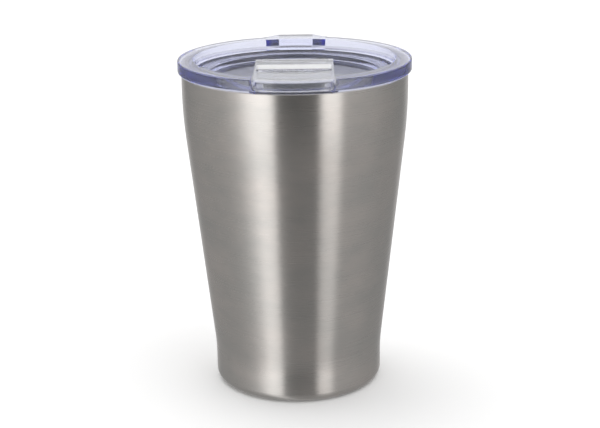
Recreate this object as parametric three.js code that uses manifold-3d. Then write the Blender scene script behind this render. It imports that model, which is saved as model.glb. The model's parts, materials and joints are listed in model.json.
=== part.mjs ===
// Insulated drinking tumbler with a clear press-in lid.
//
// A double-walled vacuum cup of stainless steel: an outer shell and an inner liner joined at the rim,
// closed underneath by a vacuum base plate and a cover. The lid is a thick clear plastic ring with a
// sunken dish, a plug with a silicone gasket, and a flap that hinges in the middle of the dish and
// drops into a notch in the front of the ring.
//
// Millimetres, +Z up, origin on the cup's axis in the plane it stands on. The drinking side is -Y.

import * as THREE from "three";
import { mergeVertices } from "three/addons/utils/BufferGeometryUtils.js";
import Module from "manifold-3d";

const wasm = await Module();
wasm.setup();

// ---------------------------------------------------------------- driving dimensions

const SEGMENTS = 60; // facets round each large turned piece
const SMALL_SEGMENTS = 20; // facets round a button, bead or pellet
const FILLET_STEP = 0.6; // radians of a rounded corner for each facet
const BAND_FACETS = 8; // along a long side of the slot, the stopper and the flap's hollow
const FLAP_FACETS = 10; // along the front edges of the flap and of its finger dip
const PIN_FACETS = 12;
const BARREL_FACETS = 16;
const GAP = 0.3; // between pieces that are fixed to each other
const CONTACT = 0.1; // between pieces that touch: the lid and the rim, the flap and its silicone
const BEYOND = 1; // how far a cutter reaches past what it cuts
const ROOT = 1; // how deep a joined piece is sunk into its neighbour

// Cup
const RIM_Z = 122; // top of the steel rim
const RIM_FILLETS = [0.5, 0.25]; // outer and inner rounding of the rim
const SHEET = 0.6; // thickness of the steel sheet
const MOUTH_R = 41.05; // inside of the rim
const COLLAR_R = 42.65; // outside of the straight collar under the rim
const WAIST_R = 32.4; // outside of the short straight foot
const FOOT_KNEE_Z = 13.6; // where the straight foot turns into the taper
const COLLAR_KNEE_Z = 106.35; // where the taper turns into the collar
const FOOT_BLEND = 73; // radius of the soft bend at the foot
const COLLAR_BLEND = 180; // radius of the soft bend at the collar
const HEEL = 3.5; // rounding of the bottom edge
const HEM_R = 27.4; // inner edge of the turned-in hem that the cup stands on
const VACUUM = 3; // space between the walls
const LINER_FLOOR_Z = 10;
const LINER_HEEL = 6;
const SHOULDER_Z = 103; // the liner steps out to the mouth from here
const MOUTH_BOTTOM_Z = 110;
const MOUTH_BLEND = 3; // radius of the two bends between the shoulder and the mouth

// Base
const PLATE_Z = 3.7;
const PLATE_R = 31.3;
const PLATE_FILLET = 1;
const PLATE_FLANGE_Z = 7;
const WELL_R = 6.2; // recess round the evacuation hole
const WELL_RISE = 1.3;
const WELL_FLARE = 1; // how much wider the recess is at its mouth
const EVACUATION_R = 1;
const BEAD_R = [2.7, 2.2]; // where the bead meets the plate, and the edge of its flat middle
const BEAD_SAG = [0.7, 0.8]; // how far it hangs down there, and on the axis
const COVER_Z = 0.6;
const COVER_R = HEM_R - GAP;
const COVER_FILLET = 0.8;
const GETTER_X = 16;
const GETTER_R = 4;
const GETTER_H = 1.9;
const GETTER_FILLET = 0.4;
const STRAP = 0.3; // thickness of the getter's clip
const STRAP_HALF = 2;
const STRAP_FOOT = 2.4; // length of each foot of the clip

// Lid
const LID_TOP_Z = 127;
const RING_R = 44;
const RING_INNER_R = 38.1;
const RING_FILLETS = [0.5, 0.6]; // inner and outer rounding of the ring's top
const RING_BOTTOM_Z = RIM_Z + CONTACT;
const RING_CHAMFER = 0.8;
const DISH_FLOOR_Z = 120;
const DISH_R = 32.2; // the floor steps up to the ledge here
const DISH_SLOPE = 0.6; // how far the step leans
const UNDERSIDE_R = [32.6, 32]; // the same step from below, at its top and bottom
const LEDGE_Z = 122;
const LEDGE_R = 36.4; // the ring's inner wall slopes in to the ledge
const LID_WALL = 2.4;
const PLUG_R = 39.7;
const PLUG_INNER_R = 37.4;
const PLUG_BOTTOM_Z = 113;
const PLUG_DRAFT = 0.3; // how much narrower the plug is at its foot
const PLUG_FILLET = 0.5;
const GROOVE_R = 38.3;
const GROOVE_Z = [115.2, 118.3];
const GASKET_WAIST_R = 39.9;
const FIN_R = [40.9, 40.8]; // lower and upper edge of a fin's tip, a little clear of the mouth
const FIN_RISE = [0.6, 0.7, 1]; // root, lower and upper edge of a fin, above where it starts
const TAB_Y = 47.8;
const TAB_HALF = [12.6, 7.2]; // half widths at the ring and at the tip
const TAB_ROOT_Y = 40.1;
const TAB_FILLET = 1.2;
const NOTCH_HALF = 15;
const NOTCH_Z = 122.9;
const NOTCH_FILLET = 2;
const SLOT_Y = [-27.5, -19.5]; // drinking slot, front and back edge on the centre line
const SLOT_HALF = 11.5;
const BEND_R = 29; // the slot and its stopper bend to this radius
const VENT_Y = -12;
const VENT_R = 1.2;

// Flap
const HINGE_Y = -4;
const HINGE_Z = 125;
const BARREL_R = 1.9;
const PIN_R = 0.8;
const PIN_HALF = 14;
const LUG_X = [12.2, 14.4];
const LUG_R = 1.9;
const LUG_FILLET = 1.8;
const LUG_FLARE = 0.8; // how much wider a lug is at its foot, on each side
const FLAP_HALF = 14.4;
const FLAP_UNDER_Z = 124.2;
const LIP_BOTTOM_Z = 123.15;
const LIP_INNER_R = 41.6;
const LIP_FILLET = 1.6; // rounding of the lip's lower corners
const KNUCKLE_HALF = 12; // half length of the hinge barrel, between the lugs
const CORNER_Y = -7; // the flap's back corners are cut away from here, to clear the lugs
const DIP_Y = [-30, -14.5]; // finger dip in the flap's top
const DIP_HALF = 13.7;
const DIP_DEPTH = 1.9;
const DIP_LEAN = 3; // how far its back wall leans
const DIP_BEND_R = 25;
const DIP_FILLET = 2.2;
const POCKET_WALL = 1.3; // the flap's front is hollow underneath, with walls this thick
const POCKET_R = 41.2; // front of the hollow
const STOPPER_CLEAR = 0.5; // between the stopper's plug and the slot's wall
const STOPPER_BRIM = 1.8; // how far the stopper's brim reaches past the slot
const STOPPER_BRIM_Z = 122.6;
const STOPPER_BOTTOM_Z = 118.8;
const SILICONE_TOP_Z = FLAP_UNDER_Z - CONTACT;
const VENT_BUTTON_R = 2.4;
const BUTTON_FILLET = 0.8;

// ---------------------------------------------------------------- shaping helpers

// Turns a list of corners [x, y, fillet] into points, each fillet as a short arc.
function rounded(corners) {
  const points = [];
  corners.forEach(([x, y, fillet = 0], i) => {
    const corner = new THREE.Vector2(x, y);
    if (fillet === 0) {
      points.push(corner);
      return;
    }
    const before = corners[(i + corners.length - 1) % corners.length];
    const after = corners[(i + 1) % corners.length];
    const back = new THREE.Vector2(before[0], before[1]).sub(corner).normalize();
    const on = new THREE.Vector2(after[0], after[1]).sub(corner).normalize();
    const half = Math.acos(back.dot(on)) / 2;
    const middle = back.clone().add(on).normalize().multiplyScalar(fillet / Math.sin(half));
    const spoke = back.clone().multiplyScalar(fillet / Math.tan(half)).sub(middle);
    const turn = Math.PI - 2 * half;
    const sweep = back.cross(on) > 0 ? -turn : turn;
    const steps = Math.max(2, Math.ceil(turn / FILLET_STEP));
    const centre = corner.clone().add(middle);
    for (let k = 0; k <= steps; k++) {
      points.push(spoke.clone().rotateAround(new THREE.Vector2(), (sweep * k) / steps).add(centre));
    }
  });
  return points;
}

// Welds a geometry's vertices, drops the faces that collapse on the axis and faces it outwards.
function closedBody(geometry) {
  const bare = new THREE.BufferGeometry();
  bare.setAttribute("position", geometry.getAttribute("position"));
  if (geometry.index) bare.setIndex(geometry.index);
  const welded = mergeVertices(bare, 1e-4);
  const at = welded.getAttribute("position");
  const [a, b, c] = [new THREE.Vector3(), new THREE.Vector3(), new THREE.Vector3()];
  const faces = [];
  let volume = 0;
  for (let i = 0; i < welded.index.count; i += 3) {
    const face = [0, 1, 2].map((k) => welded.index.getX(i + k));
    if (new Set(face).size < 3) continue;
    faces.push(face);
    [a, b, c].forEach((corner, k) => corner.fromBufferAttribute(at, face[k]));
    volume += a.dot(b.cross(c));
  }
  welded.setIndex((volume < 0 ? faces.map(([i, j, k]) => [i, k, j]) : faces).flat());
  return welded;
}

// A turned piece: corners are [radius, height, fillet].
function turned(corners, segments = SEGMENTS) {
  const points = rounded(corners);
  if (points[0].x > 0) points.push(points[0].clone());
  return closedBody(new THREE.LatheGeometry(points, segments).rotateX(Math.PI / 2));
}

// A plate with the given plan outline, from one height to another.
function plate(points, low, high) {
  const shape = new THREE.Shape(points);
  const geometry = new THREE.ExtrudeGeometry(shape, { depth: high - low, bevelEnabled: false });
  return closedBody(geometry.translate(0, 0, low));
}

// A prism along X whose end face is drawn in Y and Z.
function prismAlongX(points, low, high) {
  const shape = new THREE.Shape(points);
  const geometry = new THREE.ExtrudeGeometry(shape, { depth: high - low, bevelEnabled: false });
  geometry.rotateZ(Math.PI / 2).rotateY(Math.PI / 2);
  return closedBody(geometry.translate(low, 0, 0));
}

// A prism along Y whose end face is drawn in X and Z.
function prismAlongY(points, low, high) {
  const shape = new THREE.Shape(points);
  const geometry = new THREE.ExtrudeGeometry(shape, { depth: high - low, bevelEnabled: false });
  return closedBody(geometry.rotateX(Math.PI / 2).translate(0, high, 0));
}

// A round bar along X on the hinge's axis.
function hingeBar(radius, half, facets) {
  const bar = new THREE.CylinderGeometry(radius, radius, 2 * half, facets).rotateZ(Math.PI / 2);
  return closedBody(bar.translate(0, HINGE_Y, HINGE_Z));
}

// The outline of a band across the flap: straight ends, and long sides that bow towards the rim.
function bentBand(front, back, half, bend = BEND_R) {
  const bow = (x) => bend - Math.sqrt(bend ** 2 - x ** 2);
  const side = (y, direction) =>
    Array.from({ length: BAND_FACETS + 1 }, (_, k) => {
      const x = direction * half * ((2 * k) / BAND_FACETS - 1);
      return new THREE.Vector2(x, y + bow(x));
    });
  return [...side(front, 1), ...side(back, -1)];
}

function toManifold(geometry) {
  const vertProperties = Float32Array.from(geometry.getAttribute("position").array);
  const triVerts = Uint32Array.from(geometry.index.array);
  return new wasm.Manifold(new wasm.Mesh({ numProp: 3, vertProperties, triVerts }));
}

function fromManifold(solid) {
  const mesh = solid.getMesh();
  const geometry = new THREE.BufferGeometry();
  geometry.setAttribute("position", new THREE.BufferAttribute(mesh.vertProperties, 3));
  geometry.setIndex(new THREE.BufferAttribute(mesh.triVerts, 1));
  return geometry;
}

const join = (first, ...others) => others.reduce((whole, part) => whole.add(toManifold(part)), first);
const cut = (first, ...others) => others.reduce((whole, part) => whole.subtract(toManifold(part)), first);

// ---------------------------------------------------------------- the model

const group = new THREE.Group();

function addNode(name, geometry, finish) {
  geometry.computeVertexNormals();
  const mesh = new THREE.Mesh(geometry, new THREE.MeshStandardMaterial(finish));
  mesh.name = name;
  group.add(mesh);
  return mesh;
}

const BRUSHED_STEEL = { color: 0xa9a8a6, roughness: 0.35, metalness: 1 };
const BARE_STEEL = { color: 0x9a9a9a, roughness: 0.45, metalness: 1 };
const GETTER_ALLOY = { color: 0x6d6a66, roughness: 0.8, metalness: 0.8 };
const GLASS_SOLDER = { color: 0x35383c, roughness: 0.25, metalness: 0 };
const CLEAR_PLASTIC = {
  color: 0xdfe3f4,
  roughness: 0.06,
  metalness: 0,
  transparent: true,
  opacity: 0.35,
};
const CLEAR_SILICONE = { color: 0xe9ebee, roughness: 0.5, metalness: 0 };
const WHITE_SILICONE = { color: 0xf1f1f0, roughness: 0.55, metalness: 0 };

// Outer shell: straight foot, long taper, straight collar, rim folded in over the liner's edge.
function outerShell() {
  const inner = COLLAR_R - SHEET;
  return turned([
    [HEM_R, 0],
    [WAIST_R, 0, HEEL],
    [WAIST_R, FOOT_KNEE_Z, FOOT_BLEND],
    [COLLAR_R, COLLAR_KNEE_Z, COLLAR_BLEND],
    [COLLAR_R, RIM_Z, RIM_FILLETS[0]],
    [MOUTH_R, RIM_Z, RIM_FILLETS[1]],
    [MOUTH_R, RIM_Z - SHEET],
    [inner, RIM_Z - SHEET],
    [inner, COLLAR_KNEE_Z, COLLAR_BLEND],
    [WAIST_R - SHEET, FOOT_KNEE_Z, FOOT_BLEND],
    [WAIST_R - SHEET, SHEET, HEEL - SHEET],
    [HEM_R, SHEET],
  ]);
}

// Inner liner: drawn cup that follows the shell's taper and opens out into a straight mouth.
function innerLiner() {
  const taper = (COLLAR_R - WAIST_R) / (COLLAR_KNEE_Z - FOOT_KNEE_Z);
  const shellR = (z) => WAIST_R + taper * (z - FOOT_KNEE_Z);
  const outer = (z) => shellR(z) - SHEET - VACUUM;
  const top = RIM_Z - SHEET - GAP;
  const floor = LINER_FLOOR_Z;
  const under = LINER_FLOOR_Z - SHEET;
  return turned([
    [0, floor],
    [outer(floor) - SHEET, floor, LINER_HEEL],
    [outer(SHOULDER_Z) - SHEET, SHOULDER_Z, MOUTH_BLEND],
    [MOUTH_R, MOUTH_BOTTOM_Z, MOUTH_BLEND],
    [MOUTH_R, top],
    [MOUTH_R + SHEET, top],
    [MOUTH_R + SHEET, MOUTH_BOTTOM_Z, MOUTH_BLEND],
    [outer(SHOULDER_Z), SHOULDER_Z, MOUTH_BLEND],
    [outer(under), under, LINER_HEEL + SHEET],
    [0, under],
  ]);
}

// Vacuum base plate: flanged disc with a well round the evacuation hole.
function basePlate() {
  const top = PLATE_Z + SHEET;
  return turned([
    [EVACUATION_R, PLATE_Z + WELL_RISE],
    [WELL_R, PLATE_Z + WELL_RISE],
    [WELL_R + WELL_FLARE, PLATE_Z],
    [PLATE_R, PLATE_Z, PLATE_FILLET],
    [PLATE_R, PLATE_FLANGE_Z],
    [PLATE_R - SHEET, PLATE_FLANGE_Z],
    [PLATE_R - SHEET, top],
    [WELL_R + WELL_FLARE + SHEET / 2, top],
    [WELL_R + SHEET / 2, top + WELL_RISE],
    [EVACUATION_R, top + WELL_RISE],
  ]);
}

// Solder bead: melted lens that seals the evacuation hole from below.
function solderBead() {
  const top = PLATE_Z + WELL_RISE - GAP;
  const corners = [
    [0, top],
    [BEAD_R[0], top],
    [BEAD_R[1], top - BEAD_SAG[0]],
    [0, top - BEAD_SAG[1]],
  ];
  return turned(corners, SMALL_SEGMENTS);
}

// Base cover: shallow dish inside the hem, a little above the surface that the cup stands on.
function baseCover() {
  const top = PLATE_Z - GAP;
  return turned([
    [0, COVER_Z],
    [COVER_R, COVER_Z, COVER_FILLET],
    [COVER_R, top],
    [COVER_R - SHEET, top],
    [COVER_R - SHEET, COVER_Z + SHEET],
    [0, COVER_Z + SHEET],
  ]);
}

// Getter: pressed pellet that soaks up the last gas in the vacuum, beside the evacuation hole.
function getterPellet() {
  const low = PLATE_Z + SHEET + GAP;
  const corners = [
    [0, low],
    [GETTER_R, low],
    [GETTER_R, low + GETTER_H, GETTER_FILLET],
    [0, low + GETTER_H],
  ];
  return turned(corners, SMALL_SEGMENTS).translate(GETTER_X, 0, 0);
}

// Getter clip: strap spot-welded to the plate on both sides of the pellet.
function getterClip() {
  const low = PLATE_Z + SHEET + GAP;
  const side = GETTER_R + GAP;
  const top = low + GETTER_H + GAP;
  const outline = [
    [-side - STRAP_FOOT, low],
    [-side, low],
    [-side, top],
    [side, top],
    [side, low],
    [side + STRAP_FOOT, low],
    [side + STRAP_FOOT, low + STRAP],
    [side + STRAP, low + STRAP],
    [side + STRAP, top + STRAP],
    [-side - STRAP, top + STRAP],
    [-side - STRAP, low + STRAP],
    [-side - STRAP_FOOT, low + STRAP],
  ].map(([x, z]) => new THREE.Vector2(x, z));
  return prismAlongY(outline, -STRAP_HALF, STRAP_HALF).translate(GETTER_X, 0, 0);
}

// Clear lid: thick ring, ledge, sunken floor and plug in one moulding.
function lidBody() {
  const moulding = turned([
    [0, DISH_FLOOR_Z],
    [DISH_R - DISH_SLOPE, DISH_FLOOR_Z],
    [DISH_R, LEDGE_Z],
    [LEDGE_R, LEDGE_Z],
    [RING_INNER_R, LID_TOP_Z, RING_FILLETS[0]],
    [RING_R, LID_TOP_Z, RING_FILLETS[1]],
    [RING_R, RING_BOTTOM_Z + RING_CHAMFER],
    [RING_R - RING_CHAMFER, RING_BOTTOM_Z],
    [PLUG_R, RING_BOTTOM_Z],
    [PLUG_R, GROOVE_Z[1]],
    [GROOVE_R, GROOVE_Z[1]],
    [GROOVE_R, GROOVE_Z[0]],
    [PLUG_R, GROOVE_Z[0]],
    [PLUG_R - PLUG_DRAFT, PLUG_BOTTOM_Z, PLUG_FILLET],
    [PLUG_INNER_R, PLUG_BOTTOM_Z],
    [PLUG_INNER_R, LEDGE_Z - LID_WALL],
    [UNDERSIDE_R[0], LEDGE_Z - LID_WALL],
    [UNDERSIDE_R[1], DISH_FLOOR_Z - LID_WALL],
    [0, DISH_FLOOR_Z - LID_WALL],
  ]);
  const [tabBase, tabTip] = TAB_HALF;
  const shoreY = Math.sqrt(RING_R ** 2 - tabBase ** 2);
  const tab = plate(
    rounded([
      [-tabBase, TAB_ROOT_Y],
      [tabBase, TAB_ROOT_Y],
      [tabBase, shoreY],
      [tabTip, TAB_Y, TAB_FILLET],
      [-tabTip, TAB_Y, TAB_FILLET],
      [-tabBase, shoreY],
    ]),
    RING_BOTTOM_Z + RING_CHAMFER,
    LID_TOP_Z,
  );
  const lug = (x) =>
    prismAlongX(
      rounded([
        [HINGE_Y - LUG_R - LUG_FLARE, DISH_FLOOR_Z - ROOT],
        [HINGE_Y + LUG_R + LUG_FLARE, DISH_FLOOR_Z - ROOT],
        [HINGE_Y + LUG_R, HINGE_Z + LUG_R, LUG_FILLET],
        [HINGE_Y - LUG_R, HINGE_Z + LUG_R, LUG_FILLET],
      ]),
      x,
      x + LUG_X[1] - LUG_X[0],
    );
  const notch = prismAlongY(
    rounded([
      [-NOTCH_HALF, NOTCH_Z, NOTCH_FILLET],
      [NOTCH_HALF, NOTCH_Z, NOTCH_FILLET],
      [NOTCH_HALF, LID_TOP_Z + BEYOND],
      [-NOTCH_HALF, LID_TOP_Z + BEYOND],
    ]),
    -RING_R - BEYOND,
    -DISH_R,
  );
  const under = DISH_FLOOR_Z - LID_WALL - BEYOND;
  const slot = plate(bentBand(...SLOT_Y, SLOT_HALF), under, LEDGE_Z);
  const vent = new THREE.CylinderGeometry(VENT_R, VENT_R, 2 * LID_WALL, PIN_FACETS).rotateX(Math.PI / 2);
  const ventHole = closedBody(vent.translate(0, VENT_Y, DISH_FLOOR_Z - LID_WALL / 2));
  const whole = join(toManifold(moulding), tab, lug(LUG_X[0]), lug(-LUG_X[1]));
  const pinHole = hingeBar(PIN_R + GAP, LUG_X[1] + BEYOND, PIN_FACETS);
  return fromManifold(cut(whole, notch, slot, ventHole, pinHole));
}

// Gasket: silicone ring in the plug's groove, with two fins that press on the mouth.
function lidGasket() {
  const inner = GROOVE_R + GAP;
  const low = GROOVE_Z[0] + GAP;
  const high = GROOVE_Z[1] - GAP;
  const [root, lower, upper] = FIN_RISE;
  const fin = (z) => [
    [GASKET_WAIST_R, z],
    [FIN_R[0], z + lower],
    [FIN_R[1], z + upper],
    [GASKET_WAIST_R, z + root],
  ];
  const top = [
    [GASKET_WAIST_R, high],
    [inner, high],
  ];
  return turned([[inner, low], ...fin(low), ...fin(high - upper), ...top]);
}

// Finger dip: a front edge that bows towards the rim, and a back wall that leans away.
function fingerDip() {
  const floor = LID_TOP_Z - DIP_DEPTH;
  const above = LID_TOP_Z + BEYOND;
  const back = DIP_Y[1] - DIP_LEAN;
  const bow = (x) => DIP_Y[0] + DIP_BEND_R - Math.sqrt(DIP_BEND_R ** 2 - x ** 2);
  const front = Array.from({ length: FLAP_FACETS + 1 }, (_, k) => {
    const x = (DIP_HALF - DIP_FILLET) * ((2 * k) / FLAP_FACETS - 1);
    return [x, bow(x)];
  });
  const plan = rounded([
    ...front,
    [DIP_HALF, bow(DIP_HALF), DIP_FILLET],
    [DIP_HALF, back],
    [-DIP_HALF, back],
    [-DIP_HALF, bow(DIP_HALF), DIP_FILLET],
  ]);
  const slope = [
    [back - BEYOND, floor],
    [back, floor],
    [back + (DIP_LEAN * (above - floor)) / DIP_DEPTH, above],
    [back - BEYOND, above],
  ].map(([y, z]) => new THREE.Vector2(y, z));
  return [plate(plan, floor, above), prismAlongX(slope, -DIP_HALF, DIP_HALF)];
}

// Flap: clear plate with a finger dip, a front lip that fills the notch and a hinge barrel.
function drinkFlap() {
  const front = Array.from({ length: FLAP_FACETS + 1 }, (_, k) => {
    const x = FLAP_HALF * ((2 * k) / FLAP_FACETS - 1);
    return new THREE.Vector2(x, -Math.sqrt(RING_R ** 2 - x ** 2));
  });
  const hingeEnd = [new THREE.Vector2(FLAP_HALF, HINGE_Y), new THREE.Vector2(-FLAP_HALF, HINGE_Y)];
  const slab = plate([...front, ...hingeEnd], LIP_BOTTOM_Z, LID_TOP_Z);
  const frontView = prismAlongY(
    rounded([
      [-FLAP_HALF, LIP_BOTTOM_Z, LIP_FILLET],
      [FLAP_HALF, LIP_BOTTOM_Z, LIP_FILLET],
      [FLAP_HALF, LID_TOP_Z],
      [-FLAP_HALF, LID_TOP_Z],
    ]),
    -RING_R - BEYOND,
    0,
  );
  const behindLip = turned([
    [0, LIP_BOTTOM_Z - BEYOND],
    [LIP_INNER_R, LIP_BOTTOM_Z - BEYOND],
    [LIP_INNER_R, FLAP_UNDER_Z],
    [0, FLAP_UNDER_Z],
  ]);
  const corner = (x) => {
    const across = FLAP_HALF + BEYOND - KNUCKLE_HALF;
    return closedBody(
      new THREE.BoxGeometry(across, -CORNER_Y, LID_TOP_Z).translate(x, CORNER_Y / 2, LID_TOP_Z),
    );
  };
  const cornerX = (FLAP_HALF + BEYOND + KNUCKLE_HALF) / 2;
  const pocket = plate(
    bentBand(-POCKET_R, DIP_Y[0] - POCKET_WALL, FLAP_HALF - POCKET_WALL, LIP_INNER_R),
    FLAP_UNDER_Z - BEYOND,
    LID_TOP_Z - POCKET_WALL,
  );
  const outline = toManifold(slab).intersect(toManifold(frontView));
  const shaped = cut(outline, behindLip, pocket, ...fingerDip(), corner(cornerX), corner(-cornerX));
  const whole = join(shaped, hingeBar(BARREL_R, KNUCKLE_HALF, BARREL_FACETS));
  return fromManifold(cut(whole, hingeBar(PIN_R + GAP, FLAP_HALF + BEYOND, PIN_FACETS)));
}

// Stopper: white silicone block under the flap, a brim with a plug that fills the slot.
function slotStopper() {
  const [front, back] = SLOT_Y;
  const brim = plate(
    bentBand(front - STOPPER_BRIM, back + STOPPER_BRIM, SLOT_HALF + STOPPER_BRIM),
    STOPPER_BRIM_Z,
    SILICONE_TOP_Z,
  );
  const plug = plate(
    bentBand(front + STOPPER_CLEAR, back - STOPPER_CLEAR, SLOT_HALF - STOPPER_CLEAR),
    STOPPER_BOTTOM_Z,
    STOPPER_BRIM_Z + ROOT,
  );
  return fromManifold(join(toManifold(brim), plug));
}

// Vent button: silicone button under the flap that covers the vent hole when shut.
function ventButton() {
  const low = DISH_FLOOR_Z + GAP;
  const corners = [
    [0, low],
    [VENT_BUTTON_R, low, BUTTON_FILLET],
    [VENT_BUTTON_R, SILICONE_TOP_Z],
    [0, SILICONE_TOP_Z],
  ];
  return turned(corners, SMALL_SEGMENTS).translate(0, VENT_Y, 0);
}

addNode("outer_shell", outerShell(), BRUSHED_STEEL);
addNode("inner_liner", innerLiner(), BARE_STEEL);
addNode("base_plate", basePlate(), BARE_STEEL);
addNode("base_cover", baseCover(), BRUSHED_STEEL);
addNode("solder_bead", solderBead(), GLASS_SOLDER);
addNode("getter_pellet", getterPellet(), GETTER_ALLOY);
addNode("getter_clip", getterClip(), BARE_STEEL);
addNode("lid_body", lidBody(), CLEAR_PLASTIC);
addNode("lid_gasket", lidGasket(), CLEAR_SILICONE);
addNode("drink_flap", drinkFlap(), CLEAR_PLASTIC);
addNode("slot_stopper", slotStopper(), WHITE_SILICONE);
addNode("vent_button", ventButton(), WHITE_SILICONE);
addNode("hinge_pin", hingeBar(PIN_R, PIN_HALF, PIN_FACETS), BARE_STEEL);

export default group;
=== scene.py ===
# %% [markdown]
# # Insulated tumbler with a clear press-in lid
#
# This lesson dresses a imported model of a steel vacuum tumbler. The frame holds every piece at its
# real size; here each visible piece is made again as a fine mesh in the same place, and each finish is
# built from what the real surface is: brushed stainless steel, clear moulded copolyester, silicone.

# %% Load the frame
import json
import math

import bmesh
import bpy
from mathutils import Matrix, Vector


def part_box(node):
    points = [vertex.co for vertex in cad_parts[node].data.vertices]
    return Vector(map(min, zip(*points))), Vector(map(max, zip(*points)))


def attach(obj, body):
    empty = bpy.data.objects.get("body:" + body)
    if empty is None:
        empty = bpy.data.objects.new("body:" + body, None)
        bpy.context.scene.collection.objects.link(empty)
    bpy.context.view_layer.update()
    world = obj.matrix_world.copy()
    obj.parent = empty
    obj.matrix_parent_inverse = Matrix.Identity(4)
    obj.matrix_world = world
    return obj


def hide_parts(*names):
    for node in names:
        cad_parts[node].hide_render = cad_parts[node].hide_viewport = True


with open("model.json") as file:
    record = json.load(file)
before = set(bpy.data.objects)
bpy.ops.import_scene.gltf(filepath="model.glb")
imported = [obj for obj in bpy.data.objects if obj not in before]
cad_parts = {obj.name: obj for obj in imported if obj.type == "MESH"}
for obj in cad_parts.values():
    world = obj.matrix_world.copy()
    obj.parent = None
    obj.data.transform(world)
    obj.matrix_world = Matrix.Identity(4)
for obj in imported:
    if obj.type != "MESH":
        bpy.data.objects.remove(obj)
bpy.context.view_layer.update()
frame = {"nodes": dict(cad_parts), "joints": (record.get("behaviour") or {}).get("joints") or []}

# %% [markdown]
# The pieces are drawn in millimetres, as a toolmaker would, and turned to Blender's metres once, when
# a mesh is made. The main sizes are read from the frame, so that a changed frame moves the looks too.

# %% Sizes read from the frame
MM = 0.001


def extent(node):
    """The lowest and highest corner of a frame node, in millimetres."""
    low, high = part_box(node)
    return low / MM, high / MM


_, shell_high = extent("outer_shell")
liner_low, liner_high = extent("inner_liner")
cover_low, cover_high = extent("base_cover")
lid_low, lid_high = extent("lid_body")
_, flap_high = extent("drink_flap")
_, pin_high = extent("hinge_pin")
gasket_low, gasket_high = extent("lid_gasket")
stopper_low, stopper_high = extent("slot_stopper")
button_low, button_high = extent("vent_button")

RIM_Z = shell_high.z
COLLAR_R = shell_high.x
SHEET = 0.6  # thickness of the steel
MOUTH_R = liner_high.x - SHEET
RING_R = lid_high.x
LID_TOP = lid_high.z
TAB_Y = lid_high.y
hinge = next(joint for joint in frame["joints"] if joint["name"] == "flap_hinge")
HINGE_Y, HINGE_Z = hinge["pos_m"][1] / MM, hinge["pos_m"][2] / MM
print(f"rim {RIM_Z:.1f} mm up, lid {2 * RING_R:.1f} mm across")
print(f"hinge at Y {HINGE_Y:.1f}, Z {HINGE_Z:.1f}")

# %% [markdown]
# Most pieces of a tumbler are turned, drawn or moulded round one axis, so most are made by spinning a
# profile. A profile is a short list of corners with a fillet radius each: the arcs are worked out, so
# only the corners that a drawing would show are written down.

# %% Outlines with rounded corners
ARC_STEP = math.radians(10)
LEAST_STEPS = 4


def rounded(corners):
    """Points of an outline whose corners [x, y, fillet] are rounded by short arcs."""
    points = []
    for i, (x, y, *fillet) in enumerate(corners):
        corner = Vector((x, y))
        if not fillet:
            points.append(corner)
            continue
        back = (Vector(corners[i - 1][:2]) - corner).normalized()
        on = (Vector(corners[(i + 1) % len(corners)][:2]) - corner).normalized()
        half = math.acos(max(-1, min(1, back.dot(on)))) / 2
        centre = corner + (back + on).normalized() * fillet[0] / math.sin(half)
        spoke = corner + back * fillet[0] / math.tan(half) - centre
        turn = math.pi - 2 * half
        sweep = -turn if back.cross(on) > 0 else turn
        steps = max(LEAST_STEPS, math.ceil(turn / ARC_STEP))
        for k in range(steps + 1):
            points.append(centre + Matrix.Rotation(sweep * k / steps, 2) @ spoke)
    return points


# %% Meshes from outlines
WELD = 1e-5  # points closer than this are one point


def new_object(name, bm):
    """Links a mesh object made from a bmesh in millimetres, closed and facing out."""
    bmesh.ops.remove_doubles(bm, verts=bm.verts, dist=WELD)
    bmesh.ops.recalc_face_normals(bm, faces=bm.faces)
    bmesh.ops.scale(bm, vec=(MM, MM, MM), verts=bm.verts)
    mesh = bpy.data.meshes.new(name)
    bm.to_mesh(mesh)
    bm.free()
    piece = bpy.data.objects.new(name, mesh)
    bpy.context.scene.collection.objects.link(piece)
    return piece


def turned(name, corners, segments):
    """Spins a profile of [radius, height, fillet] corners round the Z axis."""
    bm = bmesh.new()
    rings = []
    for radius, height in rounded(corners):
        count = segments if radius > WELD else 1
        turns = [2 * math.pi * k / segments for k in range(count)]
        around = [(radius * math.cos(a), radius * math.sin(a), height) for a in turns]
        rings.append([bm.verts.new(point) for point in around])
    closed = rings if len(rings[0]) > 1 else rings[:-1]
    for n in range(len(closed)):
        low, high = rings[n], rings[(n + 1) % len(rings)]
        for k in range(segments):
            j = (k + 1) % segments
            quad = [(low, k), (low, j), (high, j), (high, k)]
            face = list(dict.fromkeys(ring[i % len(ring)] for ring, i in quad))
            if len(face) > 2:
                bm.faces.new(face)
    return new_object(name, bm)


AXES = {
    "X": lambda a, b, c: (c, a, b),
    "Y": lambda a, b, c: (a, c, b),
    "Z": lambda a, b, c: (a, b, c),
}


def side_walls(bm, rings):
    """Joins rings of vertices, one above the other, with a wall."""
    for low, high in zip(rings, rings[1:]):
        for k in range(len(low)):
            j = (k + 1) % len(low)
            bm.faces.new((low[k], low[j], high[j], high[k]))


def prism(name, points, low, high, axis="Z"):
    """Pushes an outline along an axis, from low to high."""
    bm = bmesh.new()
    place = AXES[axis]
    ends = [[bm.verts.new(place(a, b, c)) for a, b in points] for c in (low, high)]
    for end in ends:
        bm.faces.new(end)
    side_walls(bm, ends)
    return new_object(name, bm)


ROD_FACETS = 48


def circle(across, up, radius, facets):
    """Points of a circle round a centre."""
    turns = [2 * math.pi * k / facets for k in range(facets)]
    return [(across + radius * math.cos(a), up + radius * math.sin(a)) for a in turns]


def rod(name, radius, half):
    """A round bar along X on the hinge's axis."""
    return prism(name, circle(HINGE_Y, HINGE_Z, radius, ROD_FACETS), -half, half, "X")


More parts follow.
